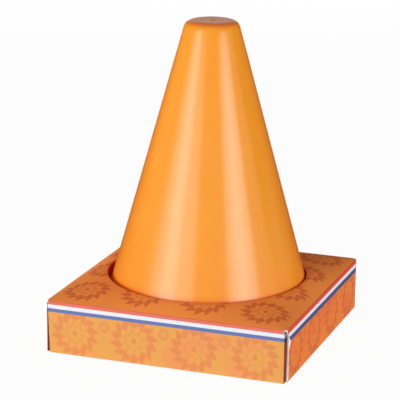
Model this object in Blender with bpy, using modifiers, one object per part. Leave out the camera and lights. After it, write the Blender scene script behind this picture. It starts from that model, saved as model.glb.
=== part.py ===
"""Four stacking training cones in a printed display carton.

Metres, +Z up. The origin is the middle of the carton's footprint, on the surface that it stands on.
The carton's front is at -Y. The four cones stand nested on a plain board tray, and a printed lid
with a round hole drops over the tip of the top cone until its walls reach the surface.
"""

import math

import bmesh
import bpy
from mathutils import Matrix

# Fits
PIECE_GAP = 0.0003
NEST_CLEARANCE = 0.00091
HOLE_CLEARANCE = 0.0022
TRAY_PLAY = 0.0011
CUT_OVERRUN = 0.003
MERGE_DISTANCE = 0.00001

# Training cone, measured from its own foot
CONE_COUNT = 4
CONE_HEIGHT = 0.180
CONE_WALL = 0.0012
CONE_FOOT_RADIUS = 0.0660
CONE_TIP_RADIUS = 0.0167
CROWN_FILLET = 0.0062
FOOT_FILLET = 0.0020
GATE_DIMPLE_RADIUS = 0.0012
GATE_DIMPLE_DEPTH = 0.0004
FLANGE_MARGIN = 0.008
FLANGE_CORNER_RADIUS = 0.012
FLANGE_EDGE_RADIUS = 0.0008
CONE_SEGMENTS = 48
FILLET_STEPS = 4
CORNER_STEPS = 4
EDGE_STEPS = 2

# Board of the tray and the lid
BOARD = 0.0010

# Printed lid
LID_CREASE_RADIUS = 0.0008
HOLE_RISE = 0.0049
LID_TAB_LENGTH = 0.020
LID_TAB_MARGIN = 0.002
CORNER_STEP = 0.0030
CORNER_STEP_DEPTH = 0.0011
CORNER_RELIEF_RADIUS = 0.0008
PANEL_SEGMENTS = 48
PANEL_RINGS = 5
PANEL_BOW_POWER = 1.5
RELIEF_SEGMENTS = 12

# The stack stands a little to one side of the lid's hole, in shares of the clearance there
STACK_SHIFT_SHARES = (0.50, 0.18)

# The cone's taper. Cones nest until their walls are this close, and the rim is as deep as that leaves.
CONE_TAPER_SHARE = (CONE_FOOT_RADIUS - CONE_TIP_RADIUS) / CONE_HEIGHT
TAPER_ANGLE = math.atan(CONE_TAPER_SHARE)
STACK_PITCH = (CONE_WALL + NEST_CLEARANCE) / math.sin(TAPER_ANGLE)
RIM_HEIGHT = STACK_PITCH - PIECE_GAP
FLANGE_SIDE = 2 * (CONE_FOOT_RADIUS + FLANGE_MARGIN)

# Where the stack stands, and the carton that is folded round it
STACK_FLOOR = BOARD + PIECE_GAP
STACK_SHIFT_X, STACK_SHIFT_Y = (share * HOLE_CLEARANCE for share in STACK_SHIFT_SHARES)
TOP_CONE_FOOT = STACK_FLOOR + (CONE_COUNT - 1) * STACK_PITCH
TRAY_WALL_HEIGHT = TOP_CONE_FOOT
TRAY_SIDE = FLANGE_SIDE + 2 * (STACK_SHIFT_X + TRAY_PLAY + BOARD)
LID_SIDE = TRAY_SIDE + 2 * (2 * BOARD + PIECE_GAP)
LID_HEIGHT = TOP_CONE_FOOT + STACK_PITCH + BOARD

ORANGE_PLASTIC = ("orange_plastic", (0.93, 0.36, 0.03, 1.0), 0.32)
PRINTED_BOARD = ("printed_board", (0.72, 0.24, 0.05, 1.0), 0.45)
PLAIN_BOARD = ("plain_board", (0.72, 0.66, 0.56, 1.0), 0.80)


def clear_scene():
    for obj in list(bpy.data.objects):
        bpy.data.objects.remove(obj, do_unlink=True)


def new_collection(name):
    collection = bpy.data.collections.new(name)
    bpy.context.scene.collection.children.link(collection)
    return collection


def new_material(name, colour, roughness):
    material = bpy.data.materials.new(name)
    material.use_nodes = True
    shader = material.node_tree.nodes["Principled BSDF"]
    shader.inputs["Base Color"].default_value = colour
    shader.inputs["Roughness"].default_value = roughness
    shader.inputs["Metallic"].default_value = 0.0
    return material


def add_object(name, mesh, collection):
    obj = bpy.data.objects.new(name, mesh)
    collection.objects.link(obj)
    return obj


def add_helper(name, mesh, collection):
    """A cutter or a building shape, which isn't a piece of the object."""
    obj = add_object(name, mesh, collection)
    obj.hide_render = True
    obj.display_type = "WIRE"
    return obj


def mesh_from(name, bm):
    mesh = bpy.data.meshes.new(name)
    bm.to_mesh(mesh)
    bm.free()
    return mesh


def box_mesh(name, low, high):
    """A box between two corners, from the unit cube."""
    bm = bmesh.new()
    bmesh.ops.create_cube(bm, size=1.0)
    for vert in bm.verts:
        for axis in range(3):
            share = vert.co[axis] + 0.5
            vert.co[axis] = low[axis] + share * (high[axis] - low[axis])
    return mesh_from(name, bm)


def boolean(obj, operation, other):
    modifier = obj.modifiers.new(operation.lower(), "BOOLEAN")
    modifier.operation = operation
    modifier.solver = "EXACT"
    modifier.object = other


def turned(name, profile, segments, collection):
    """A solid of revolution from points (radius, height) that start and end on the axis."""
    bm = bmesh.new()
    verts = [bm.verts.new((radius, 0, height)) for radius, height in profile]
    for first, second in zip(verts, verts[1:]):
        bm.edges.new((first, second))
    obj = add_helper(name, mesh_from(name, bm), collection)
    screw = obj.modifiers.new("turn", "SCREW")
    screw.steps = segments
    screw.render_steps = segments
    screw.use_merge_vertices = True
    screw.merge_threshold = MERGE_DISTANCE
    return obj


def finished_mesh(obj, name):
    """The evaluated mesh of an object, to be shared by its copies."""
    bpy.context.view_layer.update()
    graph = bpy.context.evaluated_depsgraph_get()
    mesh = bpy.data.meshes.new_from_object(obj.evaluated_get(graph))
    mesh.name = name
    return mesh


def arc(centre, radius, start, end, steps):
    """Points (radius, height) along an arc, with angles from the outward direction, up."""
    angles = [start + (end - start) * step / steps for step in range(steps + 1)]
    return [(centre[0] + radius * math.cos(a), centre[1] + radius * math.sin(a)) for a in angles]


def side_radius(height, inset):
    """The cone's radius at a height, on its outer side moved in by inset, square to the side."""
    return CONE_FOOT_RADIUS - CONE_TAPER_SHARE * height - inset / math.cos(TAPER_ANGLE)


def crown_arc(inset):
    """The rounded shoulder, from the flat top down to the tapered side."""
    fillet = CROWN_FILLET - inset
    centre_height = CONE_HEIGHT - CROWN_FILLET
    centre = (side_radius(centre_height, CROWN_FILLET), centre_height)
    return arc(centre, fillet, math.pi / 2, TAPER_ANGLE, FILLET_STEPS)


def foot_arc():
    """The hollow fillet where the tapered side runs out into the flange."""
    centre_height = RIM_HEIGHT + FOOT_FILLET
    centre = (side_radius(centre_height, -FOOT_FILLET), centre_height)
    return arc(centre, FOOT_FILLET, math.pi + TAPER_ANGLE, 1.5 * math.pi, FILLET_STEPS)


def hole_radius():
    """The lid's hole clears the top cone where the cone passes the board's underside."""
    underside = LID_HEIGHT + HOLE_RISE - BOARD
    return side_radius(underside - TOP_CONE_FOOT, 0) + HOLE_CLEARANCE


def cone_outside(collection):
    dimple_floor = CONE_HEIGHT - GATE_DIMPLE_DEPTH
    flange_middle = RIM_HEIGHT - CONE_WALL / 2
    foot = foot_arc()
    profile = [(0, dimple_floor), (GATE_DIMPLE_RADIUS, dimple_floor)]
    profile.append((GATE_DIMPLE_RADIUS + GATE_DIMPLE_DEPTH, CONE_HEIGHT))
    profile += crown_arc(0)
    profile += foot
    profile += [(foot[-1][0], flange_middle), (0, flange_middle)]
    return turned("cone_outside", profile, CONE_SEGMENTS, collection)


def cone_hollow(collection):
    mouth = -CUT_OVERRUN
    profile = [(0, CONE_HEIGHT - CONE_WALL)]
    profile += crown_arc(CONE_WALL)
    profile += [(side_radius(mouth, CONE_WALL), mouth), (0, mouth)]
    return turned("cone_hollow", profile, CONE_SEGMENTS, collection)


def rounded_block(half, bottom, top, corner_radius):
    """A square block whose upright edges are rounded, as a bmesh."""
    bm = bmesh.new()
    bm.from_mesh(box_mesh("block", (-half, -half, bottom), (half, half, top)))
    upright = [e for e in bm.edges if abs(e.verts[0].co.z - e.verts[1].co.z) > MERGE_DISTANCE]
    bevel_edges(bm, upright, corner_radius, CORNER_STEPS)
    return bm


def bevel_edges(bm, edges, radius, steps):
    bmesh.ops.bevel(bm, geom=edges, offset=radius, segments=steps, affect="EDGES", profile=0.5)


def flange_block(collection):
    """The square foot with its upright corners and its upper edge rounded."""
    bm = rounded_block(FLANGE_SIDE / 2, 0, RIM_HEIGHT, FLANGE_CORNER_RADIUS)
    upper = [e for e in bm.edges if min(v.co.z for v in e.verts) > RIM_HEIGHT - MERGE_DISTANCE]
    bevel_edges(bm, upper, FLANGE_EDGE_RADIUS, EDGE_STEPS)
    return add_helper("flange_block", mesh_from("flange_block", bm), collection)


def flange_cavity(collection):
    """The space under the foot, inside its rim."""
    half = FLANGE_SIDE / 2 - CONE_WALL
    bm = rounded_block(half, -CUT_OVERRUN, RIM_HEIGHT - CONE_WALL, FLANGE_CORNER_RADIUS - CONE_WALL)
    return add_helper("flange_cavity", mesh_from("flange_cavity", bm), collection)


def add_cones(collection, helpers, material):
    """One moulding, made once and stacked: every cone rests with its rim on the flange below."""
    pattern = cone_outside(helpers)
    boolean(pattern, "UNION", flange_block(helpers))
    boolean(pattern, "DIFFERENCE", flange_cavity(helpers))
    boolean(pattern, "DIFFERENCE", cone_hollow(helpers))
    mesh = finished_mesh(pattern, "training_cone")
    mesh.materials.clear()
    mesh.materials.append(material)
    mesh.shade_smooth()
    mesh.set_sharp_from_angle(angle=math.radians(30))
    for index in range(CONE_COUNT):
        cone = add_object(f"cone_{index + 1}", mesh, collection)
        cone.location = (STACK_SHIFT_X, STACK_SHIFT_Y, STACK_FLOOR + index * STACK_PITCH)


def square_point(angle, half):
    """The point of a square outline in a direction from its middle."""
    reach = half / max(abs(math.cos(angle)), abs(math.sin(angle)))
    return reach * math.cos(angle), reach * math.sin(angle)


def panel_ring(share):
    """Points of the top panel: share 0 is the round hole's edge, share 1 is the square crease."""
    half = LID_SIDE / 2 - LID_CREASE_RADIUS
    height = LID_HEIGHT + HOLE_RISE * (1 - share**PANEL_BOW_POWER)
    radius = hole_radius()
    ring = []
    for index in range(PANEL_SEGMENTS):
        angle = 2 * math.pi * index / PANEL_SEGMENTS
        square_x, square_y = square_point(angle, half)
        round_x = radius * math.cos(angle)
        round_y = radius * math.sin(angle)
        x = round_x + share * (square_x - round_x)
        y = round_y + share * (square_y - round_y)
        ring.append((x, y, height))
    return ring


def wall_ring(half, height):
    angles = [2 * math.pi * index / PANEL_SEGMENTS for index in range(PANEL_SEGMENTS)]
    return [(*square_point(angle, half), height) for angle in angles]


def add_lid(collection, helpers, material):
    """A folded board lid: a bowed top panel round the hole, and four walls down to the surface."""
    half = LID_SIDE / 2
    rings = [panel_ring(index / PANEL_RINGS) for index in range(PANEL_RINGS + 1)]
    rings.append(wall_ring(half, LID_HEIGHT - LID_CREASE_RADIUS))
    rings.append(wall_ring(half, 0))
    bm = bmesh.new()
    rows = [[bm.verts.new(point) for point in ring] for ring in rings]
    for upper, lower in zip(rows, rows[1:]):
        for index in range(PANEL_SEGMENTS):
            after = (index + 1) % PANEL_SEGMENTS
            bm.faces.new((upper[index], lower[index], lower[after], upper[after]))
    lid = add_object("display_lid", mesh_from("display_lid", bm), collection)
    lid.data.materials.append(material)
    solidify = lid.modifiers.new("board", "SOLIDIFY")
    solidify.thickness = BOARD
    solidify.offset = -1
    solidify.use_even_offset = True
    for corner in range(4):
        turn = Matrix.Rotation(corner * math.pi / 2, 4, "Z")
        boolean(lid, "UNION", glue_tab(corner, turn, helpers))
        boolean(lid, "DIFFERENCE", corner_step(corner, turn, helpers))
        boolean(lid, "DIFFERENCE", corner_relief(corner, turn, helpers))


def glue_tab(corner, turn, helpers):
    """The end of one wall, folded back and glued flat behind the next wall."""
    half = LID_SIDE / 2
    overlap = BOARD / 2
    low = (half - 2 * BOARD, -half + overlap, LID_TAB_MARGIN)
    high = (half - overlap, -half + LID_TAB_LENGTH, LID_HEIGHT - BOARD - LID_TAB_MARGIN)
    mesh = box_mesh(f"lid_tab_{corner + 1}", low, high)
    mesh.transform(turn)
    return add_helper(mesh.name, mesh, helpers)


def corner_step(corner, turn, helpers):
    """A wall's cut edge stops short of the corner, so the tab folded in behind it shows there."""
    half = LID_SIDE / 2
    low = (half - CORNER_STEP_DEPTH, -half - CUT_OVERRUN, -CUT_OVERRUN)
    high = (half + CUT_OVERRUN, -half + CORNER_STEP, LID_HEIGHT - LID_CREASE_RADIUS)
    mesh = box_mesh(f"corner_step_{corner + 1}", low, high)
    mesh.transform(turn)
    return add_helper(mesh.name, mesh, helpers)


def corner_relief(corner, turn, helpers):
    """The small round punch at the end of the cut, which keeps the board from tearing."""
    half = LID_SIDE / 2
    height = 2 * (BOARD + CUT_OVERRUN)
    bm = bmesh.new()
    bmesh.ops.create_cone(
        bm,
        cap_ends=True,
        segments=RELIEF_SEGMENTS,
        radius1=CORNER_RELIEF_RADIUS,
        radius2=CORNER_RELIEF_RADIUS,
        depth=height,
    )
    centre = (half - BOARD, -half + BOARD, LID_HEIGHT)
    bmesh.ops.translate(bm, verts=bm.verts, vec=centre)
    bmesh.ops.transform(bm, matrix=turn, verts=bm.verts)
    name = f"corner_relief_{corner + 1}"
    return add_helper(name, mesh_from(name, bm), helpers)


def add_tray(collection, material):
    """A plain tray with low walls, which stands inside the lid and carries the stack."""
    half = TRAY_SIDE / 2
    bm = bmesh.new()
    bm.from_mesh(box_mesh("tray_box", (-half, -half, 0), (half, half, TRAY_WALL_HEIGHT)))
    upper = [f for f in bm.faces if f.calc_center_median().z > TRAY_WALL_HEIGHT - MERGE_DISTANCE]
    bmesh.ops.delete(bm, geom=upper, context="FACES_ONLY")
    tray = add_object("base_tray", mesh_from("base_tray", bm), collection)
    tray.data.materials.append(material)
    solidify = tray.modifiers.new("board", "SOLIDIFY")
    solidify.thickness = BOARD
    solidify.offset = -1
    solidify.use_even_offset = True


def main():
    clear_scene()
    collection = new_collection("training_cone_set")
    helpers = new_collection("cutters")
    orange = new_material(*ORANGE_PLASTIC)
    printed = new_material(*PRINTED_BOARD)
    plain = new_material(*PLAIN_BOARD)
    add_tray(collection, plain)
    add_cones(collection, helpers, orange)
    add_lid(collection, helpers, printed)


main()
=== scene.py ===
"""The looks of four nested training cones in their printed display carton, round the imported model."""

import math

import bmesh
import bpy
from mathutils import Matrix, Vector


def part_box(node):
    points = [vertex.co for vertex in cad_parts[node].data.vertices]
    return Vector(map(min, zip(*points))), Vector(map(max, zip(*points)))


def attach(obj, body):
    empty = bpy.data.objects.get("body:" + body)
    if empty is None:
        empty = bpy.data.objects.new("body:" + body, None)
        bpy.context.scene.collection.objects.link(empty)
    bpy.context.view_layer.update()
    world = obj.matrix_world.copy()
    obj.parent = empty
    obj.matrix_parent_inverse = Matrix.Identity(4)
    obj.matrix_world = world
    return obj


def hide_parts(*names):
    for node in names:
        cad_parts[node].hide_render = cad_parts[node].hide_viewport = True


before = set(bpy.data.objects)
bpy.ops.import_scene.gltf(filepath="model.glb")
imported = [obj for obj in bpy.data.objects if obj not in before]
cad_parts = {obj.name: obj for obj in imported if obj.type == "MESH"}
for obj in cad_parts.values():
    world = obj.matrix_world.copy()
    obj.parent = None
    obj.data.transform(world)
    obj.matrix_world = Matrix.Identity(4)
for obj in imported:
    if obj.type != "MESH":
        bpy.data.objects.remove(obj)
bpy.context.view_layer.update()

# Lengths are in metres, and colours are linear. Faces that meet at more than this angle stay sharp.
SHARP_ANGLE = math.radians(40)

# Training cone, measured from its own foot, as in the solid
CONE_NODES = ("cone_1", "cone_2", "cone_3", "cone_4")
CONE_HEIGHT = 0.180
CONE_WALL = 0.0012
CONE_FOOT_RADIUS = 0.0660
CONE_TIP_RADIUS = 0.0167
CROWN_FILLET = 0.0062
FOOT_FILLET = 0.0020
PIECE_GAP = 0.0003
FLANGE_CORNER_RADIUS = 0.012
FLANGE_EDGE_RADIUS = 0.0008
TAPER_SHARE = (CONE_FOOT_RADIUS - CONE_TIP_RADIUS) / CONE_HEIGHT
TAPER_ANGLE = math.atan(TAPER_SHARE)
FLANGE_HALF = (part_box("cone_4")[1].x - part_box("cone_4")[0].x) / 2
RIM_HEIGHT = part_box("cone_4")[0].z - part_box("cone_3")[0].z - PIECE_GAP

# Finer than the solid: the crown's outer round is a little tighter, and its first part is drawn in
# towards a smaller flat top. The rim's lower edges are rounded.
CROWN_ROUND = 0.0056
CROWN_EASE = 0.0021
CROWN_EASE_POWER = 3
RIM_ROUNDING = 0.0003
# The small nub where the mould was filled, in the slightly dished top: radius and depth below the rim
GATE_NUB = ((0.0005, 0.0), (0.0010, 0.00003), (0.0013, 0.00010), (0.00145, 0.00028), (0.0019, 0.00030))

# How many rings of faces each stretch of the moulding has, from the middle of the top to the hollow
TOP_STEPS = 5
CROWN_STEPS = 14
SIDE_STEPS = 24
FOOT_STEPS = 7
FLANGE_STEPS = 5
EDGE_STEPS = 4
CEILING_STEPS = 4
HOLLOW_STEPS = 18
# How many faces each ring has along a quarter's flat side and round its corner
FLAT_STEPS = 26
CORNER_STEPS = 8


def side_radius(height, inset):
    """The cone's radius at a height, on its outer side moved in by inset, square to the side."""
    return CONE_FOOT_RADIUS - TAPER_SHARE * height - inset / math.cos(TAPER_ANGLE)


def arc(centre, radius, start, end, steps):
    angles = [start + (end - start) * step / steps for step in range(steps + 1)]
    return [(centre[0] + radius * math.cos(a), centre[1] + radius * math.sin(a)) for a in angles]


def crown_arc(fillet, inset):
    """A round of the given fillet between the side and the top, moved in by inset."""
    centre_height = CONE_HEIGHT - fillet
    centre = (side_radius(centre_height, fillet), centre_height)
    return arc(centre, fillet - inset, math.pi / 2, TAPER_ANGLE, CROWN_STEPS)


def outer_crown():
    """The crown's outer round, whose first part is drawn in towards the middle."""
    points = crown_arc(CROWN_ROUND, 0)
    flat = points[0][0]
    drawn = []
    for radius, height in points:
        pull = CROWN_EASE * (1 - (radius - flat) / CROWN_ROUND) ** CROWN_EASE_POWER
        drawn.append((radius - pull, height))
    return drawn


def foot_arc():
    """The hollow round between the side and the flange."""
    centre_height = RIM_HEIGHT + FOOT_FILLET
    centre = (side_radius(centre_height, -FOOT_FILLET), centre_height)
    return arc(centre, FOOT_FILLET, math.pi + TAPER_ANGLE, 1.5 * math.pi, FOOT_STEPS)


def square_ring(half, corner, height):
    """A square outline with rounded corners, point by point in step with the round rings."""
    middle = half - corner
    quarter = []
    for step in range(FLAT_STEPS):
        quarter.append((half, middle * (2 * step / FLAT_STEPS - 1)))
    for step in range(CORNER_STEPS):
        angle = math.pi / 2 * step / CORNER_STEPS
        quarter.append((middle + corner * math.cos(angle), middle + corner * math.sin(angle)))
    ring = []
    for turn in range(4):
        c, s = round(math.cos(turn * math.pi / 2)), round(math.sin(turn * math.pi / 2))
        ring += [(c * x - s * y, s * x + c * y, height) for x, y in quarter]
    return ring


def flange_ring(inset, height):
    """The flange's outline, moved in by inset."""
    return square_ring(FLANGE_HALF - inset, FLANGE_CORNER_RADIUS - inset, height)


DIRECTIONS = [math.atan2(y, x) for x, y, _ in flange_ring(0, 0)]


def round_ring(radius, height):
    return [(radius * math.cos(a), radius * math.sin(a), height) for a in DIRECTIONS]


def between(first, second, steps):
    """Rings strictly between two rings."""
    made = []
    for step in range(1, steps):
        share = step / steps
        made.append([tuple(a + share * (b - a) for a, b in zip(p, q)) for p, q in zip(first, second)])
    return made


def cone_rings():
    """Every ring of the moulding, from the middle of the top, out over the foot and up the hollow."""
    rings = [round_ring(radius, CONE_HEIGHT - depth) for radius, depth in GATE_NUB]
    crown = [round_ring(*point) for point in outer_crown()]
    rings += between(rings[-1], crown[0], TOP_STEPS) + crown
    foot = [round_ring(*point) for point in foot_arc()]
    rings += between(crown[-1], foot[0], SIDE_STEPS) + foot
    edge = []
    for step in range(EDGE_STEPS + 1):
        angle = math.pi / 2 * step / EDGE_STEPS
        drop = FLANGE_EDGE_RADIUS * (1 - math.cos(angle))
        edge.append(flange_ring(FLANGE_EDGE_RADIUS * (1 - math.sin(angle)), RIM_HEIGHT - drop))
    rings += between(foot[-1], edge[0], FLANGE_STEPS) + edge
    # Down the rim's outside, under it and up its inside to the hollow's ceiling
    ceiling = RIM_HEIGHT - CONE_WALL
    for inset, height in (
        (0, RIM_ROUNDING),
        (RIM_ROUNDING, 0),
        (CONE_WALL - RIM_ROUNDING, 0),
        (CONE_WALL, RIM_ROUNDING),
        (CONE_WALL, ceiling - RIM_ROUNDING),
        (CONE_WALL + RIM_ROUNDING, ceiling),
    ):
        rings.append(flange_ring(inset, height))
    mouth = round_ring(side_radius(ceiling, CONE_WALL), ceiling)
    rings += between(rings[-1], mouth, CEILING_STEPS) + [mouth]
    hollow = [round_ring(*point) for point in reversed(crown_arc(CROWN_FILLET, CONE_WALL))]
    rings += between(mouth, hollow[0], HOLLOW_STEPS) + hollow
    rings.append(round_ring(GATE_NUB[-1][0], CONE_HEIGHT - CONE_WALL))
    return rings


def cone_mesh():
    bm = bmesh.new()
    rows = [[bm.verts.new(point) for point in ring] for ring in cone_rings()]
    count = len(DIRECTIONS)
    for upper, lower in zip(rows, rows[1:]):
        for index in range(count):
            after = (index + 1) % count
            bm.faces.new((upper[index], lower[index], lower[after], upper[after]))
    for row, height in ((rows[0], CONE_HEIGHT - GATE_NUB[0][1]), (rows[-1], CONE_HEIGHT - CONE_WALL)):
        middle = bm.verts.new((0, 0, height))
        for index in range(count):
            bm.faces.new((middle, row[index], row[(index + 1) % count]))
    bmesh.ops.recalc_face_normals(bm, faces=bm.faces)
    mesh = bpy.data.meshes.new("cone_moulding")
    bm.to_mesh(mesh)
    bm.free()
    mesh.shade_smooth()
    mesh.set_sharp_from_angle(angle=SHARP_ANGLE)
    return mesh


def add_cones(material):
    mesh = cone_mesh()
    mesh.materials.append(material)
    for node in CONE_NODES:
        low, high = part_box(node)
        cone = bpy.data.objects.new(f"{node}_moulding", mesh)
        bpy.context.scene.collection.objects.link(cone)
        cone.location = ((low.x + high.x) / 2, (low.y + high.y) / 2, low.z)
        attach(cone, node)
        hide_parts(node)


# Printed lid. It is one sheet: a bowed panel with a round hole, four creases and four walls. Each
# wall's right end folds into a tab behind the next wall, whose cut edge stops short of the corner.
LID_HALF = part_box("display_lid")[1].x
BOARD = 0.00095
LID_HEIGHT = 0.0342515
HOLE_RISE = 0.0049
HOLE_RADIUS = 0.06470
RIM_TOP = LID_HEIGHT + HOLE_RISE
BOW_POWER = 1.5
PANEL_COLUMNS = 56
PANEL_RINGS = 10
NOTCH = 0.0008

# The crease rolls on from the bowed panel, at about its slope, into the wall
CREASE_RADIUS = 0.0012
CREASE_START = math.radians(20)
CREASE_STEPS = 6
PANEL_EDGE = LID_HALF - CREASE_RADIUS * (1 - math.sin(CREASE_START))
PANEL_EDGE_HEIGHT = LID_HEIGHT - CREASE_RADIUS * (1 - math.cos(CREASE_START))

# The lip turns down inside the hole, a dark sheet that carries painted shade in the gap round the cone.
# Its lower edge curls inward: how far in and up each row stands
LIP_BEND = 0.0005
LIP_BEND_STEPS = 4
LIP_DEPTH = 0.0056
LIP_EDGE = ((0.00085, 0.0), (0.00040, 0.00006), (0.00010, 0.00035), (0.0, 0.0009))
LIP_RINGS = len(LIP_EDGE) + LIP_BEND_STEPS

# Heights down a wall, and how far its cut edge stands back from the corner at each of them: on the
# side walls, and on the front and back walls, which are cut closer to the corner
WALL_ROWS = (
    (LID_HEIGHT - CREASE_RADIUS, 0.0018, 0.0012),
    (LID_HEIGHT - 0.0020, 0.0025, 0.0013),
    (LID_HEIGHT - 0.0026, 0.0030, 0.0013),
    (LID_HEIGHT - 0.0040, 0.0038, 0.0014),
    (LID_HEIGHT - 0.0052, 0.0042, 0.0014),
    (LID_HEIGHT - 0.0066, 0.0044, 0.0015),
    (LID_HEIGHT - 0.0082, 0.0045, 0.0016),
    (LID_HEIGHT - 0.0105, 0.0044, 0.0017),
    (0.0190, 0.0043, 0.0019),
    (0.0140, 0.0041, 0.0021),
    (0.0090, 0.0038, 0.0023),
    (0.0045, 0.0035, 0.0025),
    (0.0, 0.0033, 0.0027),
)
# Columns nearer to the cut edge than this are moved onto it
LEAST_COLUMN = 0.0004

# The tab hangs from the second row of heights. Along it, its foot rises and its top drops by a share
# of that: first over the fold, and then at each distance behind the next wall.
FOLDED_ROW = 1
FOLD_RADIUS = 0.00105
FOLD_STEPS = 6
FOLD_LIFT = 0.0002
TAB_GAP = 0.0001
TAB_LENGTH = 0.020
TAB_LIFTS = ((0.0008, 0.0003), (0.003, 0.0006), (0.009, 0.0014), (TAB_LENGTH, 0.0040))
TAB_TOP_SHARE = 0.6
FOLD_START = LID_HALF - BOARD - TAB_GAP - FOLD_RADIUS

# Corners of one face this near to each other count as one, and so do the sheet's vertices
SAME_CORNER = 1e-7
SAME_VERTEX = 2e-6

# The uv map is in metres, with each wall one unit along u from the one before. The top panel and the
# lip lie further along v than the walls. The slack is for telling these parts apart.
TOP_SHIFT = 2
LIP_SHIFT = 4
UV_SLACK = 0.1


def lip_rings(columns):
    """Rows of the lip that turns down inside the hole, from its lower edge up to the panel."""
    profile = [(HOLE_RADIUS - inward, -LIP_DEPTH + up) for inward, up in LIP_EDGE]
    for step in range(LIP_BEND_STEPS):
        angle = math.pi / 2 * step / LIP_BEND_STEPS
        outward = LIP_BEND * (1 - math.cos(angle))
        profile.append((HOLE_RADIUS + outward, LIP_BEND * (math.sin(angle) - 1)))
    rows = []
    for radius, rise in profile:
        row = []
        for along in columns:
            angle = math.atan2(-PANEL_EDGE, along)
            row.append(((radius * math.cos(angle), radius * math.sin(angle), RIM_TOP + rise), along))
        rows.append(row)
    return rows


def panel_point(share, along):
    """The top panel over the front side: share 0 is the hole's edge, 1 the crease."""
    angle = math.atan2(-PANEL_EDGE, along)
    x = (HOLE_RADIUS + LIP_BEND) * math.cos(angle)
    y = (HOLE_RADIUS + LIP_BEND) * math.sin(angle)
    height = PANEL_EDGE_HEIGHT + (RIM_TOP - PANEL_EDGE_HEIGHT) * (1 - share**BOW_POWER)
    return (x + share * (along - x), y + share * (-PANEL_EDGE - y), height)


def notch_panel(row):
    """Cuts the panel back at both corners of its last row."""
    for end, sign in ((0, 1), (-1, -1)):
        (x, y, z), along = row[end]
        row[end] = ((x + sign * NOTCH, y + NOTCH, z), along)


def crease_rows(columns, low_left):
    """Rows round the crease, whose ends run from the notches to the wall's own ends."""
    rows = []
    top_left, top_right = -PANEL_EDGE + NOTCH, PANEL_EDGE - NOTCH
    for step in range(1, CREASE_STEPS + 1):
        share = step / CREASE_STEPS
        angle = CREASE_START + (math.pi / 2 - CREASE_START) * step / CREASE_STEPS
        y = -LID_HALF + CREASE_RADIUS * (1 - math.sin(angle))
        z = LID_HEIGHT - CREASE_RADIUS * (1 - math.cos(angle))
        row = [((along, y, z), along) for along in columns]
        left = top_left + share * (low_left - top_left)
        right = top_right + share * (FOLD_START - top_right)
        row[0] = ((left, y, z), left)
        row[-1] = ((right, y, z), right)
        rows.append(row)
    return rows


def wall_rows(columns, cuts):
    """Rows down the wall, from its cut edge on the left to the fold on the right."""
    rows = []
    for (height, _, _), back in zip(WALL_ROWS[1:], cuts[1:]):
        row = [((along, -LID_HALF, height), along) for along in columns]
        left = -LID_HALF + back
        for column, along in enumerate(columns):
            if along <= left + LEAST_COLUMN:
                row[column] = ((left, -LID_HALF, height), left)
        row[-1] = ((FOLD_START, -LID_HALF, height), FOLD_START)
        rows.append(row)
    return rows


def lid_side_grid(side):
    """Rows of (point, along) for a side in the front's place, from the lip to the wall's foot."""
    cuts = [row[1 if side % 2 else 2] for row in WALL_ROWS]
    columns = [PANEL_EDGE * (2 * c / PANEL_COLUMNS - 1) for c in range(PANEL_COLUMNS + 1)]
    rows = lip_rings(columns)
    for ring in range(PANEL_RINGS + 1):
        rows.append([(panel_point(ring / PANEL_RINGS, along), along) for along in columns])
    notch_panel(rows[-1])
    return rows + crease_rows(columns, -LID_HALF + cuts[0]) + wall_rows(columns, cuts)


def fold_columns():
    """Columns of (x, y, along, lift) round the fold and along the tab behind the next wall."""
    made = []
    for step in range(1, FOLD_STEPS + 1):
        angle = math.pi / 2 * step / FOLD_STEPS
        x = FOLD_START + FOLD_RADIUS * math.sin(angle)
        y = -LID_HALF + FOLD_RADIUS * (1 - math.cos(angle))
        made.append((x, y, FOLD_START + FOLD_RADIUS * angle, FOLD_LIFT * (step / FOLD_STEPS) ** 2))
    start = made[-1][2]
    for reach, lift in TAB_LIFTS:
        made.append((x, y + reach, start + reach, lift))
    return made


def add_face(bm, uv_layer, corners, offset):
    """A face from (vertex, u, v) corners. Corners that fall together are left out."""
    kept = []
    for corner in corners:
        if all((corner[0].co - other[0].co).length > SAME_CORNER for other in kept):
            kept.append(corner)
    if len(kept) < 3:
        return
    face = bm.faces.new([corner[0] for corner in kept])
    for loop, (_, u, v) in zip(face.loops, kept):
        loop[uv_layer].uv = (u + offset[0], v + offset[1])


def add_side(bm, uv_layer, side, turn):
    """A side's part of the lip and the panel, its crease and its wall. Returns the wall's rows."""
    rows = []
    for row in lid_side_grid(side):
        rows.append([(bm.verts.new(turn @ Vector(point)), along, point[2]) for point, along in row])
    for number, (upper, lower) in enumerate(zip(rows, rows[1:])):
        lip = number < LIP_RINGS
        flat = number < LIP_RINGS + PANEL_RINGS
        offset = (0, LIP_SHIFT) if lip else (0, TOP_SHIFT) if flat else (side, 0)
        for index in range(PANEL_COLUMNS):
            corners = [upper[index], lower[index], lower[index + 1], upper[index + 1]]
            if flat and not lip:
                corners = [(vert, vert.co.x, vert.co.y) for vert, _, _ in corners]
            add_face(bm, uv_layer, corners, offset)
    return rows[-len(WALL_ROWS):]


def add_tab(bm, uv_layer, side, turn, wall):
    """The fold at a wall's right end and the tab behind the next wall."""
    before = [row[-1] for row in wall]
    top = wall[0][0][0].co.z
    for x, y, along, lift in fold_columns():
        heights = [lift + (row[-1][2] / top) * (top - (1 + TAB_TOP_SHARE) * lift) for row in wall]
        after = [(bm.verts.new(turn @ Vector((x, y, z))), along, z) for z in heights]
        for index in range(len(before) - 1):
            corners = [before[index], before[index + 1], after[index + 1], after[index]]
            add_face(bm, uv_layer, corners, (side, 0))
        before = after


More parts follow.
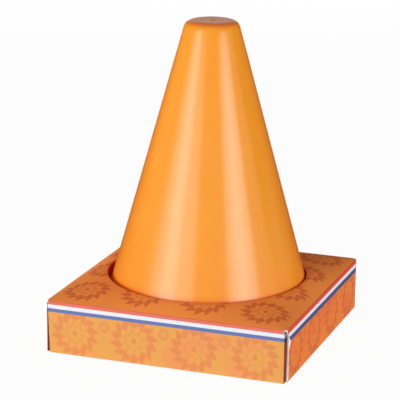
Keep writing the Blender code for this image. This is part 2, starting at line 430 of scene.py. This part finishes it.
def lid_sheet():
    bm = bmesh.new()
    uv_layer = bm.loops.layers.uv.new("print")
    for side in range(4):
        turn = Matrix.Rotation(side * math.pi / 2, 3, "Z")
        wall = add_side(bm, uv_layer, side, turn)
        add_tab(bm, uv_layer, side, turn, wall[FOLDED_ROW:])
    loose = [vert for vert in bm.verts if not vert.link_faces]
    bmesh.ops.delete(bm, geom=loose, context="VERTS")
    bmesh.ops.remove_doubles(bm, verts=bm.verts, dist=SAME_VERTEX)
    mesh = bpy.data.meshes.new("lid_sheet")
    bm.to_mesh(mesh)
    bm.free()
    return mesh


def add_lid(printed, plain, raw):
    """The lid's board: printed outside, plain inside and raw at its cut edges."""
    lid = bpy.data.objects.new("display_lid_board", lid_sheet())
    bpy.context.scene.collection.objects.link(lid)
    for material in (printed, plain, raw):
        lid.data.materials.append(material)
    solidify = lid.modifiers.new("board", "SOLIDIFY")
    solidify.thickness = BOARD
    solidify.offset = -1
    solidify.use_even_offset = True
    solidify.material_offset = 1
    solidify.material_offset_rim = 2
    thick = bpy.data.meshes.new_from_object(lid.evaluated_get(bpy.context.evaluated_depsgraph_get()))
    lid.modifiers.remove(solidify)
    lid.data = thick
    thick.shade_smooth()
    thick.set_sharp_from_angle(angle=SHARP_ANGLE)
    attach(lid, "display_lid")
    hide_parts("display_lid")


class Field:
    """A number that varies over a surface, with arithmetic that adds math nodes to the tree."""

    def __init__(self, tree, socket):
        self.tree = tree
        self.socket = socket

    def math(self, operation, *others):
        node = self.tree.nodes.new("ShaderNodeMath")
        node.operation = operation
        for slot, value in zip(node.inputs, (self, *others)):
            if isinstance(value, Field):
                self.tree.links.new(value.socket, slot)
            else:
                slot.default_value = value
        return Field(self.tree, node.outputs[0])

    def __add__(self, other):
        return self.math("ADD", other)

    def __sub__(self, other):
        return self.math("SUBTRACT", other)

    def __mul__(self, other):
        return self.math("MULTIPLY", other)

    def __truediv__(self, other):
        return self.math("DIVIDE", other)

    def flipped(self):
        """One minus the number."""
        return (self * -1) + 1

    def above(self, edge, blur):
        """0 below the edge and 1 above it, over a short blur."""
        node = self.tree.nodes.new("ShaderNodeMapRange")
        node.interpolation_type = "SMOOTHSTEP"
        self.tree.links.new(self.socket, node.inputs["Value"])
        node.inputs["From Min"].default_value = edge - blur
        node.inputs["From Max"].default_value = edge + blur
        return Field(self.tree, node.outputs["Result"])


def new_material(name):
    material = bpy.data.materials.new(name)
    material.use_nodes = True
    tree = material.node_tree
    return material, tree, tree.nodes["Principled BSDF"]


def noise(tree, vector, scale, detail, roughness=0.5):
    node = tree.nodes.new("ShaderNodeTexNoise")
    node.inputs["Scale"].default_value = scale
    node.inputs["Detail"].default_value = detail
    node.inputs["Roughness"].default_value = roughness
    tree.links.new(vector, node.inputs["Vector"])
    return Field(tree, node.outputs["Fac"])


def mix(tree, factor, first, second):
    """Blends two colours, each a tuple or a socket."""
    node = tree.nodes.new("ShaderNodeMix")
    node.data_type = "RGBA"
    tree.links.new(factor.socket, node.inputs["Factor"])
    for name, value in (("A", first), ("B", second)):
        slot = [s for s in node.inputs if s.name == name and s.type == "RGBA"][0]
        if isinstance(value, tuple):
            slot.default_value = (*value, 1.0)
        else:
            tree.links.new(value, slot)
    return [s for s in node.outputs if s.type == "RGBA"][0]


def darker(colour, share):
    return tuple(share * part for part in colour)


def bump(tree, shader, height, distance):
    node = tree.nodes.new("ShaderNodeBump")
    node.inputs["Distance"].default_value = distance
    tree.links.new(height.socket, node.inputs["Height"])
    tree.links.new(node.outputs["Normal"], shader.inputs["Normal"])


def object_coordinates(tree):
    return tree.nodes.new("ShaderNodeTexCoord").outputs["Object"]


def split_axes(tree, socket):
    """The three numbers of a vector."""
    split = tree.nodes.new("ShaderNodeSeparateXYZ")
    tree.links.new(socket, split.inputs[0])
    return [Field(tree, split.outputs[axis]) for axis in "XYZ"]


def length(x, y):
    return (x * x + y * y).math("SQRT")


# Noise patterns: scale, detail and, where it isn't 0.5, roughness
PLASTIC_MOTTLE = (60, 3)
PLASTIC_GRAIN = (900, 2)
FLAME_PATCHES = (26, 1.5, 0.4)
BOARD_WAVES = (70, 2)
BOARD_FIBRES = (1500, 2)
PULP_CLOUDS = (220, 4, 0.6)
PULP_SPECKS = (1400, 2)

# Tones of the plastic, and tones painted on it as shade. Each change is an edge and a blur: first in
# the mottle's value, and then in height above the cone's foot.
PLASTIC_TONES = ((0.920, 0.318, 0.021), (0.945, 0.336, 0.024))
MOTTLE_CHANGE = (0.5, 0.35)
# Painted shade: a deeper orange low down, where the cone stands in the lid's hole
LOW_PAINTED_SHADE = (0.945, 0.245, 0.014)
LOW_SHADE_CHANGE = (0.0146, 0.0030)
# Painted shade: a redder tone on the crown and top, which get little light
CROWN_PAINTED_SHADE = (0.985, 0.225, 0.030)
CROWN_SHADE_CHANGE = (0.1783, 0.0014)
# Painted shade: the red of light bounced round the gap under the lid's lip, between two heights
FOOT_PAINTED_SHADE = (0.960, 0.195, 0.010)
FOOT_SHADE_CHANGES = ((0.0088, 0.0010), (0.0138, 0.0016))
# Towards its outline the plastic is painted a little redder, as painted shade on its edges. This change
# is in the slant, which is 1 at the outline.
SLANT_PAINTED_SHADE = (0.980, 0.265, 0.022)
SLANT_SHADE_CHANGE = (0.70, 0.30)
# The mark where the mould was filled, rough and light, in the middle of the top
GATE_TONE = (1.000, 0.440, 0.040)
GATE_RADIUS_CHANGE = (0.0015, 0.0001)
GATE_HEIGHT_CHANGE = (0.1792, 0.0002)
PLASTIC_ROUGHNESS = 0.17
GRAIN_ROUGHNESS = 0.06
GATE_ROUGHNESS = 0.5
GRAIN_DEPTH = 0.00002


def orange_plastic():
    material, tree, shader = new_material("orange_moulded_plastic")
    where = object_coordinates(tree)
    mottle = noise(tree, where, *PLASTIC_MOTTLE)
    base = mix(tree, mottle.above(*MOTTLE_CHANGE), *PLASTIC_TONES)
    x, y, height = split_axes(tree, where)
    # Painted shade: redder low down, at the crown and in the gap under the lid's lip
    base = mix(tree, height.above(*LOW_SHADE_CHANGE).flipped(), base, LOW_PAINTED_SHADE)
    base = mix(tree, height.above(*CROWN_SHADE_CHANGE), base, CROWN_PAINTED_SHADE)
    foot_shade_start, foot_shade_end = FOOT_SHADE_CHANGES
    foot = height.above(*foot_shade_start) * height.above(*foot_shade_end).flipped()
    base = mix(tree, foot, base, FOOT_PAINTED_SHADE)
    # Painted shade: redder towards the outline
    slant = tree.nodes.new("ShaderNodeLayerWeight")
    slant.inputs["Blend"].default_value = 0.5
    base = mix(tree, Field(tree, slant.outputs["Facing"]).above(*SLANT_SHADE_CHANGE), base, SLANT_PAINTED_SHADE)
    gate = length(x, y).above(*GATE_RADIUS_CHANGE).flipped() * height.above(*GATE_HEIGHT_CHANGE)
    base = mix(tree, gate, base, GATE_TONE)
    tree.links.new(base, shader.inputs["Base Color"])
    grain = noise(tree, where, *PLASTIC_GRAIN)
    rough = grain * GRAIN_ROUGHNESS + gate * GATE_ROUGHNESS + PLASTIC_ROUGHNESS
    tree.links.new(rough.socket, shader.inputs["Roughness"])
    shader.inputs["IOR"].default_value = 1.5
    bump(tree, shader, grain, GRAIN_DEPTH)
    return material


# Line art of a flower, in shares of its radius. Each of its three rings of petals has the reach of
# its tips and of the notches between them. The inner rings have fewer petals. The pairs below these
# are an edge and a blur.
OUTER_PETALS = (1.0, 0.74)
MIDDLE_PETALS = (0.70, 0.52)
INNER_PETALS = (0.42, 0.26)
MIDDLE_FEWER = 4
INNER_FEWER = 6
PETAL_POINT = 0.8
PETAL_RIM = (0, 0.02)
MIDDLE_LINE = 0.022
INNER_LINE = 0.020
LINE_BLUR = 0.012
SEAM_CHANGE = (0.90, 0.05)
SEAM_START = (0.66, 0.05)
SEAM_STRENGTH = 0.9
VEIN_START = (0.36, 0.04)
VEIN_END = (0.56, 0.04)
HEART_EDGE = (0.10, 0.015)


def rosette(x, y, radius, petals, twist):
    """A round flower with pointed petals: 1 on its dark tone, 0 on the ground."""
    reach = length(x, y) / radius
    angle = y.math("ARCTAN2", x) + reach * twist
    outer = petal_edge(angle, reach, petals, *OUTER_PETALS)
    middle = petal_edge(angle * -1, reach, petals - MIDDLE_FEWER, *MIDDLE_PETALS)
    inner = petal_edge(angle, reach, petals - INNER_FEWER, *INNER_PETALS)
    filled = outer.above(*PETAL_RIM) * middle.above(*PETAL_RIM).flipped()
    seams = petal_seam(angle, petals) * reach.above(*SEAM_START) * SEAM_STRENGTH
    veins = petal_seam(angle * -1, petals - MIDDLE_FEWER) * reach.above(*VEIN_START)
    veins = veins * reach.above(*VEIN_END).flipped() * SEAM_STRENGTH
    art = filled - seams
    heart = reach.above(*HEART_EDGE).flipped()
    for part in (line(middle, MIDDLE_LINE), line(inner, INNER_LINE), heart, veins):
        art = art.math("MAXIMUM", part)
    return art


def petal_edge(angle, reach, petals, tip, notch):
    """How far inside a ring of pointed petals a point lies, as a share of the flower's radius."""
    turn = (angle * (petals / (2 * math.pi))).math("FRACT")
    off = (turn - 0.5).math("ABSOLUTE") * 2
    return (off.math("POWER", PETAL_POINT) * (notch - tip)) + tip - reach


def petal_seam(angle, petals):
    """1 on the narrow seams between neighbouring petals."""
    turn = (angle * (petals / (2 * math.pi))).math("FRACT")
    return ((turn - 0.5).math("ABSOLUTE") * 2).above(*SEAM_CHANGE)


def line(edge, width):
    return edge.math("ABSOLUTE").above(width, LINE_BLUR).flipped()


# The print is laid out on the flat sheet: four flowers on each wall, and a square grid of them over
# the top, with buds between them that keep a margin. Radius, number of petals and twist of both, and
# how high up the walls they stand.
CELL = LID_HALF / 2
FLOWER = (0.0164, 14, 0.55)
FLOWER_HEIGHT = 0.0146
BUD = (0.0040, 10, 0.0)
BUD_HEIGHT = 0.0215
BUD_MARGIN = 0.008
BUD_END = (LID_HALF - BUD_MARGIN, 0.0001)
ART_STRENGTH = 0.92
PATCH_EDGE = (0.56, 0.05)
PATCH_STRENGTH = 0.7

# Tones of the ground, of the flame-like patches on it and of the flowers: one print in lit and shaded
# copies, darker on the walls as painted shade and lighter on the front, partly as a painted sheen
GROUND_WALL_SHADED = (0.815, 0.217, 0.026)
GROUND_TOP = (0.975, 0.300, 0.062)
GROUND_FRONT_WITH_SHEEN = (0.825, 0.388, 0.098)
PATCH_WALL = (0.800, 0.150, 0.024)
PATCH_FRONT_WITH_SHEEN = (0.870, 0.320, 0.120)
FLOWER_WALL_SHADED = (0.670, 0.130, 0.032)
FLOWER_TOP = (0.730, 0.150, 0.040)
FLOWER_FRONT_WITH_SHEEN = (0.790, 0.275, 0.095)
# How far below the crest the front wall's lighter tones start, partly lighter print and partly a
# painted sheen
FRONT_SHEEN_START = (0.0003, 0.00002)

# The folded tab is printed in a dark flood of red, which starts a little earlier at the side walls'
# tabs.
# The lip in the hole is painted dark red too, as painted shade for the gap round the cone.
TAB_INK = (0.230, 0.025, 0.010)
TAB_INK_START = (FOLD_START + 0.0006, 0.0004)
TAB_INK_EARLY = 0.0012
LIP_PAINTED_SHADE = (0.600, 0.032, 0.006)
LIP_SHADE_END = (LIP_SHIFT + RIM_TOP - LIP_BEND, 0.0002)

# Stripes under the crease: how far below the crest each starts and ends, on the front and back walls
# and on the side walls, and its tone on most walls and on the front, where it is lighter, partly as a
# painted sheen
STRIPES_FRONT = (0.00025, 0.00245, 0.00495, 0.00730)
STRIPES_SIDE = (0.00030, 0.00305, 0.00560, 0.00890)
STRIPE_TONES = (
    ((0.700, 0.064, 0.040), (0.800, 0.190, 0.130)),
    ((0.800, 0.785, 0.870), (0.860, 0.870, 0.930)),
    ((0.043, 0.068, 0.195), (0.135, 0.205, 0.470)),
)
STRIPE_BLUR = 0.00006
STRIPE_SHADE_ON_TAB = 0.25

# At the cut end of a side wall the printed face is torn off in a small triangle. Its point lies this
# far below the crest, where the cut edge stands back from the corner by CUT_BACK.
TORN_TONE = (0.900, 0.880, 0.850)
TEAR_POINT_BELOW = 0.0096
TEAR_SLOPE = 0.85
TEAR_WIDTH = 0.0044
TEAR_LEAST_WIDTH = 0.0006
TEAR_BLUR = 0.0001
TEAR_TOP = (0.0060, 0.0002)
CUT_BACK = 0.0044

PRINT_ROUGHNESS = 0.55
FIBRE_ROUGHNESS = 0.10
PRINT_SPECULAR = 0.12
FIBRE_DEPTH_SHARE = 0.04
BOARD_DEPTH = 0.0001


def printed_board():
    material, tree, shader = new_material("printed_carton_board")
    uv = tree.nodes.new("ShaderNodeUVMap")
    uv.uv_map = "print"
    u, v, _ = split_axes(tree, uv.outputs["UV"])
    where = object_coordinates(tree)
    on_top = v.above(TOP_SHIFT / 2, UV_SLACK)
    on_wall = on_top.flipped()
    side = (u + 0.5).math("FLOOR") * on_wall
    along = u - side
    up = v - on_top * TOP_SHIFT
    below = (up * -1) + LID_HEIGHT
    front = side.math("COMPARE", 0.0, UV_SLACK) * on_wall * below.above(*FRONT_SHEEN_START)
    from_right = (side - 1).math("ABSOLUTE")
    on_side_wall = from_right.math("MODULO", 2.0).math("COMPARE", 0.0, UV_SLACK)

    # Flowers in the middle of the grid's cells, and buds between the cells
    column, row = along / CELL, up / CELL
    x, y_top = ((part.math("FRACT") - 0.5) * CELL for part in (column, row))
    x_bud, y_bud_top = (((part + 0.5).math("FRACT") - 0.5) * CELL for part in (column, row))
    flower = rosette(x, (up - FLOWER_HEIGHT) * on_wall + y_top * on_top, *FLOWER)
    bud = rosette(x_bud, (up - BUD_HEIGHT) * on_wall + y_bud_top * on_top, *BUD)
    far = along.math("ABSOLUTE").math("MAXIMUM", up.math("ABSOLUTE"))
    art = flower.math("MAXIMUM", bud * far.above(*BUD_END).flipped())

    # Soft flame-like patches of a redder tone behind the flowers
    patch = noise(tree, where, *FLAME_PATCHES).above(*PATCH_EDGE)
    # Lit and shaded copies of one print: the walls darker as painted shade, the front lighter, partly
    # as a painted sheen
    ground = mix(tree, front, mix(tree, on_top, GROUND_WALL_SHADED, GROUND_TOP), GROUND_FRONT_WITH_SHEEN)
    warm = mix(tree, front, PATCH_WALL, PATCH_FRONT_WITH_SHEEN)
    ground = mix(tree, patch * on_wall * PATCH_STRENGTH, ground, warm)
    dark = mix(tree, front, mix(tree, on_top, FLOWER_WALL_SHADED, FLOWER_TOP), FLOWER_FRONT_WITH_SHEEN)
    ground = mix(tree, art * ART_STRENGTH, ground, dark)

    # The flood of red on the tab, and the lip's dark red, which is painted shade
    tab = (along + on_side_wall * TAB_INK_EARLY).above(*TAB_INK_START) * on_wall
    ground = mix(tree, tab, ground, TAB_INK)
    lip_end, lip_blur = LIP_SHADE_END
    lip = v.above((TOP_SHIFT + LIP_SHIFT) / 2, UV_SLACK) * (v * -1).above(-lip_end, lip_blur)
    ground = mix(tree, lip, ground, LIP_PAINTED_SHADE)

    # Stripes, a little lower and wider on the side walls, lighter on the front partly as a painted
    # sheen
    edges = [on_side_wall * (b - a) + a for a, b in zip(STRIPES_FRONT, STRIPES_SIDE)]
    for start, end, (others, on_front) in zip(edges, edges[1:], STRIPE_TONES):
        inside = (below - start).above(0, STRIPE_BLUR) * (below - end).above(0, STRIPE_BLUR).flipped()
        tone = mix(tree, front, others, on_front)
        tone = mix(tree, tab, tone, darker(others, STRIPE_SHADE_ON_TAB))
        ground = mix(tree, inside * on_wall, ground, tone)

    # The torn triangle
    width = (below - TEAR_POINT_BELOW).math("ABSOLUTE") * -TEAR_SLOPE + TEAR_WIDTH
    reach = width.math("MAXIMUM", TEAR_LEAST_WIDTH) + (CUT_BACK - LID_HALF)
    torn = (reach - along).above(0, TEAR_BLUR) * below.above(*TEAR_TOP) * on_side_wall * on_wall
    ground = mix(tree, torn, ground, TORN_TONE)
    tree.links.new(ground, shader.inputs["Base Color"])

    wave = noise(tree, where, *BOARD_WAVES)
    fibre = noise(tree, where, *BOARD_FIBRES)
    rough = fibre * FIBRE_ROUGHNESS + PRINT_ROUGHNESS
    tree.links.new(rough.socket, shader.inputs["Roughness"])
    shader.inputs["Specular IOR Level"].default_value = PRINT_SPECULAR
    bump(tree, shader, wave + fibre * FIBRE_DEPTH_SHARE, BOARD_DEPTH)
    return material


# Light tone, dark tone and roughness of the board's plain face and of its cut edge. The cut edge of the
# hole is painted dark red out to a radius, as painted shade like the lip's.
BOARD_FACE = ((0.64, 0.60, 0.54), (0.56, 0.52, 0.46), 0.85)
BOARD_EDGE = ((0.99, 0.98, 0.96), (0.94, 0.92, 0.89), 0.9)
CLOUD_CHANGE = (0.5, 0.25)
SPECK_EDGE = (0.70, 0.03)
SPECK_STRENGTH = 0.35
SPECK_SHADE = 0.55
HOLE_EDGE_PAINTED_SHADE = (0.500, 0.028, 0.006)
HOLE_EDGE_SHADE_END = (HOLE_RADIUS + BOARD * 1.2, 0.0001)


def board_material(name, light, dark, roughness, shaded_hole=False):
    """Uncoated board: pressed fibre with a few darker specks."""
    material, tree, shader = new_material(name)
    where = object_coordinates(tree)
    cloud = noise(tree, where, *PULP_CLOUDS)
    colour = mix(tree, cloud.above(*CLOUD_CHANGE), dark, light)
    speck = noise(tree, where, *PULP_SPECKS).above(*SPECK_EDGE)
    colour = mix(tree, speck * SPECK_STRENGTH, colour, darker(dark, SPECK_SHADE))
    # Painted shade: dark red on the cut edge of the hole
    if shaded_hole:
        x, y, _ = split_axes(tree, where)
        colour = mix(tree, length(x, y).above(*HOLE_EDGE_SHADE_END).flipped(), colour, HOLE_EDGE_PAINTED_SHADE)
    tree.links.new(colour, shader.inputs["Base Color"])
    shader.inputs["Roughness"].default_value = roughness
    bump(tree, shader, cloud, BOARD_DEPTH)
    return material


# Camera, measured from the middle of the footprint. The focal length is in pixels of the photo.
PHOTO_SIZE = 400
FOCAL_PIXELS = 1965.4
SENSOR_WIDTH = 0.036
CLIP_START = 0.05
CLIP_END = 50
CAMERA_PLACE = Vector((0.40528, -1.15290, 0.43014))
CAMERA_AZIMUTH = math.radians(19.61)
CAMERA_ELEVATION = math.radians(15.67)
CAMERA_ROLL = math.radians(0.652)
CAMERA_BEARING = math.atan2(CAMERA_PLACE.y, CAMERA_PLACE.x)


def add_camera():
    data = bpy.data.cameras.new("photo_camera")
    data.sensor_width = SENSOR_WIDTH * 1000
    data.lens = FOCAL_PIXELS / PHOTO_SIZE * SENSOR_WIDTH * 1000
    data.clip_start = CLIP_START
    data.clip_end = CLIP_END
    camera = bpy.data.objects.new("photo_camera", data)
    bpy.context.scene.collection.objects.link(camera)
    az, el, roll = CAMERA_AZIMUTH, CAMERA_ELEVATION, CAMERA_ROLL
    back = Vector((math.sin(az) * math.cos(el), -math.cos(az) * math.cos(el), math.sin(el)))
    right = Vector((math.cos(az), math.sin(az), 0))
    up = back.cross(right)
    right_rolled = math.cos(roll) * right + math.sin(roll) * up
    up_rolled = -math.sin(roll) * right + math.cos(roll) * up
    turn = Matrix((right_rolled, up_rolled, back)).transposed().to_4x4()
    camera.matrix_world = Matrix.Translation(CAMERA_PLACE) @ turn
    bpy.context.scene.camera = camera


# Upright lamp panels: from which bearing to which, in degrees from the camera's, to its right, how
# far from the middle, the heights of the lower and upper edge, and the radiance
LAMPS = (
    ("lamp_left_wide", -72, -19, 1.3, 0.0, 0.62, 2.65),
    ("lamp_left_core", -59, -40, 1.28, 0.0, 0.78, 2.8),
    ("lamp_right_wide", 24, 60, 1.3, 0.0, 0.62, 4.0),
    ("lamp_right_core", 36, 48, 1.28, 0.0, 0.78, 1.9),
)
# The same for fills, which aren't mirrored in the object
FILLS = (
    ("fill_left", -130, -90, 1.3, 0.0, 0.4, 6.2),
    ("fill_right", 80, 120, 1.3, 0.0, 0.12, 14.5),
    ("fill_back", 150, 210, 1.3, 0.0, 0.4, 2.0),
    ("fill_top", -56, -34, 0.79, 0.95, 1.55, 8.1),
)


def add_softbox(name, start, end, distance, low, high, radiance):
    """A lamp panel that the camera doesn't see, facing the middle."""
    angle = CAMERA_BEARING + math.radians((start + end) / 2)
    width = 2 * distance * math.tan(math.radians(abs(end - start) / 2))
    data = bpy.data.lights.new(name, "AREA")
    data.shape = "RECTANGLE"
    data.size = width
    data.size_y = high - low
    data.energy = radiance * math.pi * width * (high - low)
    lamp = bpy.data.objects.new(name, data)
    bpy.context.scene.collection.objects.link(lamp)
    place = Vector((distance * math.cos(angle), distance * math.sin(angle), (low + high) / 2))
    lamp.location = place
    inward = Vector((place.x, place.y, 0))
    lamp.rotation_mode = "QUATERNION"
    lamp.rotation_quaternion = inward.to_track_quat("Z", "Y")
    lamp.visible_camera = False
    return lamp


# The surroundings: how strongly they light the object, and how they look in mirror-like reflections.
# There the backdrop ends at a height, given as a share of the way up, with a dim ceiling above it.
# Behind the object it is grey and ends higher.
WORLD_LEVEL = 0.14
BACKDROP_TOP = 0.31
BACKDROP_BLUR = 0.08
BACKDROP_BEHIND = 0.5
BACKDROP_RISE = 0.12
BACKDROP_TURN = (0.0, 0.3)
CEILING_LEVEL = 0.10


def seen_directly(tree):
    """1 for rays from the camera, and for those that a mirror or glass sends on."""
    path = tree.nodes.new("ShaderNodeLightPath")
    camera = Field(tree, path.outputs["Is Camera Ray"])
    glossy = Field(tree, path.outputs["Is Glossy Ray"])
    through = Field(tree, path.outputs["Is Transmission Ray"])
    return camera.math("MAXIMUM", glossy).math("MAXIMUM", through)


def add_world():
    """Surroundings that are all white to the camera."""
    world = bpy.data.worlds.new("studio")
    bpy.context.scene.world = world
    world.use_nodes = True
    tree = world.node_tree
    x, y, z = split_axes(tree, tree.nodes.new("ShaderNodeTexCoord").outputs["Generated"])
    ahead = CAMERA_PLACE.xy.normalized()
    behind = (x * -ahead.x - y * ahead.y).above(*BACKDROP_TURN)
    ceiling = (z - behind * BACKDROP_RISE).above(BACKDROP_TOP, BACKDROP_BLUR)
    white = behind * (BACKDROP_BEHIND - 1.0) + 1.0
    backdrop = ceiling * (white * -1 + CEILING_LEVEL) + white
    in_camera = Field(tree, tree.nodes.new("ShaderNodeLightPath").outputs["Is Camera Ray"])
    backdrop = backdrop + in_camera * backdrop.flipped()
    strength = seen_directly(tree) * (backdrop - WORLD_LEVEL) + WORLD_LEVEL
    background = tree.nodes["Background"]
    background.inputs["Color"].default_value = (1.0, 1.0, 1.0, 1.0)
    tree.links.new(strength.socket, background.inputs["Strength"])


# Upright dark cards on either side, which only mirror-like rays see: both ends, each as the distance
# towards the camera and to the side, and the height
CARDS = (
    ("card", (-0.16, 0.13), (0.05, 0.34), 0.45),
    ("card_back", (-0.16, 0.02), (-0.16, 0.055), 0.16),
    ("card_middle", (-0.16, 0.055), (-0.16, 0.13), 0.40),
)
CARD_COLOUR = (0.03, 0.03, 0.03, 1.0)


def add_card(name, near, far, height):
    """A card that stands over the line between two points, turned with the camera's bearing."""
    bm = bmesh.new()
    corners = [(*near, 0.0), (*far, 0.0), (*far, height), (*near, height)]
    bm.faces.new([bm.verts.new(corner) for corner in corners])
    mesh = bpy.data.meshes.new(name)
    bm.to_mesh(mesh)
    bm.free()
    card = bpy.data.objects.new(name, mesh)
    bpy.context.scene.collection.objects.link(card)
    card.rotation_euler.z = CAMERA_BEARING
    card.visible_camera = False
    card.visible_diffuse = False
    card.visible_shadow = False
    material, _, shader = new_material(name)
    shader.inputs["Base Color"].default_value = CARD_COLOUR
    shader.inputs["Roughness"].default_value = 1.0
    shader.inputs["Specular IOR Level"].default_value = 0.0
    mesh.materials.append(material)


# The white surface shows only this share of the shadows on it
SHADOW_SHARE = 0.04
FLOOR_RADIUS = 6.0
FLOOR_SEGMENTS = 96
FLOOR_DROP = 0.0002
FLOOR_COLOUR = (0.85, 0.85, 0.85, 1.0)
FLOOR_ROUGHNESS = 0.9


def add_floor():
    bm = bmesh.new()
    bmesh.ops.create_circle(bm, cap_ends=True, segments=FLOOR_SEGMENTS, radius=FLOOR_RADIUS)
    mesh = bpy.data.meshes.new("studio_floor")
    bm.to_mesh(mesh)
    bm.free()
    floor = bpy.data.objects.new("studio_floor", mesh)
    bpy.context.scene.collection.objects.link(floor)
    floor.location.z = -FLOOR_DROP
    material, tree, shader = new_material("studio_floor")
    shader.inputs["Base Color"].default_value = FLOOR_COLOUR
    shader.inputs["Roughness"].default_value = FLOOR_ROUGHNESS
    shader.inputs["Specular IOR Level"].default_value = 0.0
    glow = tree.nodes.new("ShaderNodeEmission")
    blend = tree.nodes.new("ShaderNodeMixShader")
    output = tree.nodes["Material Output"]
    factor = seen_directly(tree) * (1.0 - SHADOW_SHARE)
    tree.links.new(factor.socket, blend.inputs[0])
    tree.links.new(shader.outputs[0], blend.inputs[1])
    tree.links.new(glow.outputs[0], blend.inputs[2])
    tree.links.new(blend.outputs[0], output.inputs["Surface"])
    mesh.materials.append(material)


def main():
    bpy.context.scene.view_settings.view_transform = "Standard"
    plastic = orange_plastic()
    printed = printed_board()
    plain = board_material("carton_inside", *BOARD_FACE)
    raw = board_material("board_edge", *BOARD_EDGE, shaded_hole=True)
    add_cones(plastic)
    add_lid(printed, plain, raw)
    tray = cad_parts["base_tray"]
    tray.data.materials.clear()
    tray.data.materials.append(plain)
    add_camera()
    add_floor()
    add_world()
    for lamp in LAMPS:
        add_softbox(*lamp)
    for fill in FILLS:
        add_softbox(*fill).visible_glossy = False
    for hand, sign in (("left", -1), ("right", 1)):
        for name, (near, near_side), (far, far_side), height in CARDS:
            add_card(f"{name}_{hand}", (near, sign * near_side), (far, sign * far_side), height)


main()
